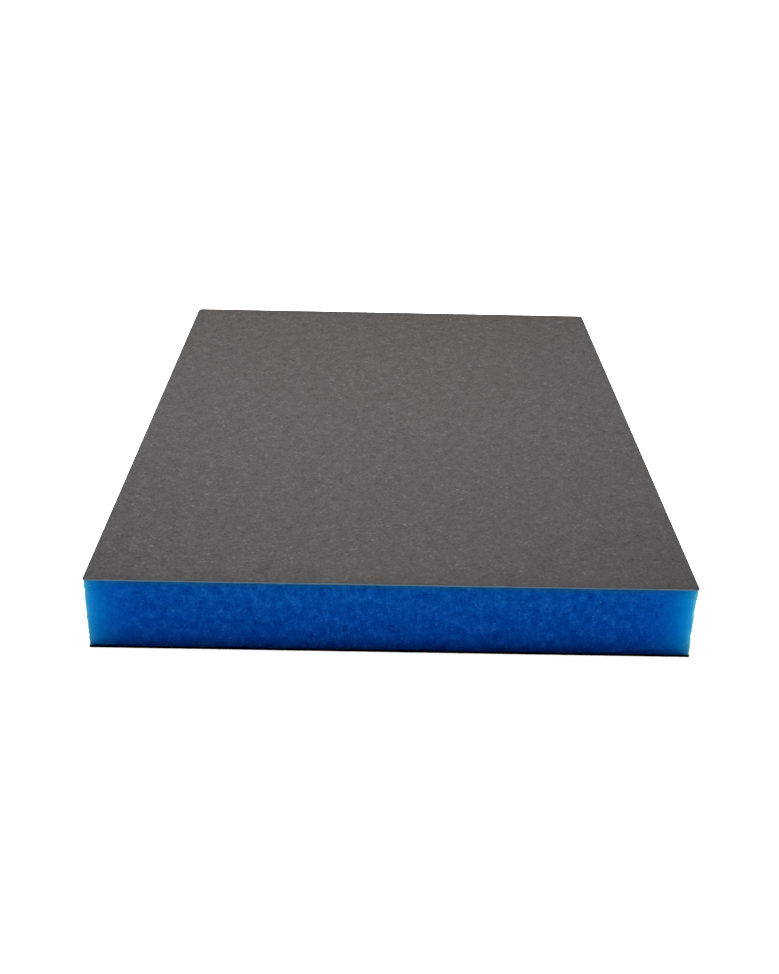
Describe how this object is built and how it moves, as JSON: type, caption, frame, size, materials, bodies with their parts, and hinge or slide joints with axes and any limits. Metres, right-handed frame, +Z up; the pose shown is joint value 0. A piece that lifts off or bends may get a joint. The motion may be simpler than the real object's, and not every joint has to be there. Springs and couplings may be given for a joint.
{
  "type": "abrasive sponge",
  "caption": "Flat flexible abrasive sponge: a foam slab with a fine grit coat bonded to both broad faces, held in the hand for sanding and scouring.",
  "frame": {"origin": "centre of the lower working face, which the pad rests on", "axes": "+Z up through the 13.4 mm thickness, +Y along the 120 mm length, +X across the 98 mm width"},
  "size_m": [0.098, 0.12, 0.0134],
  "materials": {
    "foam": "matte",
    "upper_grit_coat": "matte",
    "lower_grit_coat": "matte"
  },
  "bodies": {
    "root": {"foam_core": "foam", "upper_abrasive_coat": "upper_grit_coat", "lower_abrasive_coat": "lower_grit_coat"}
  },
  "joints": []
}
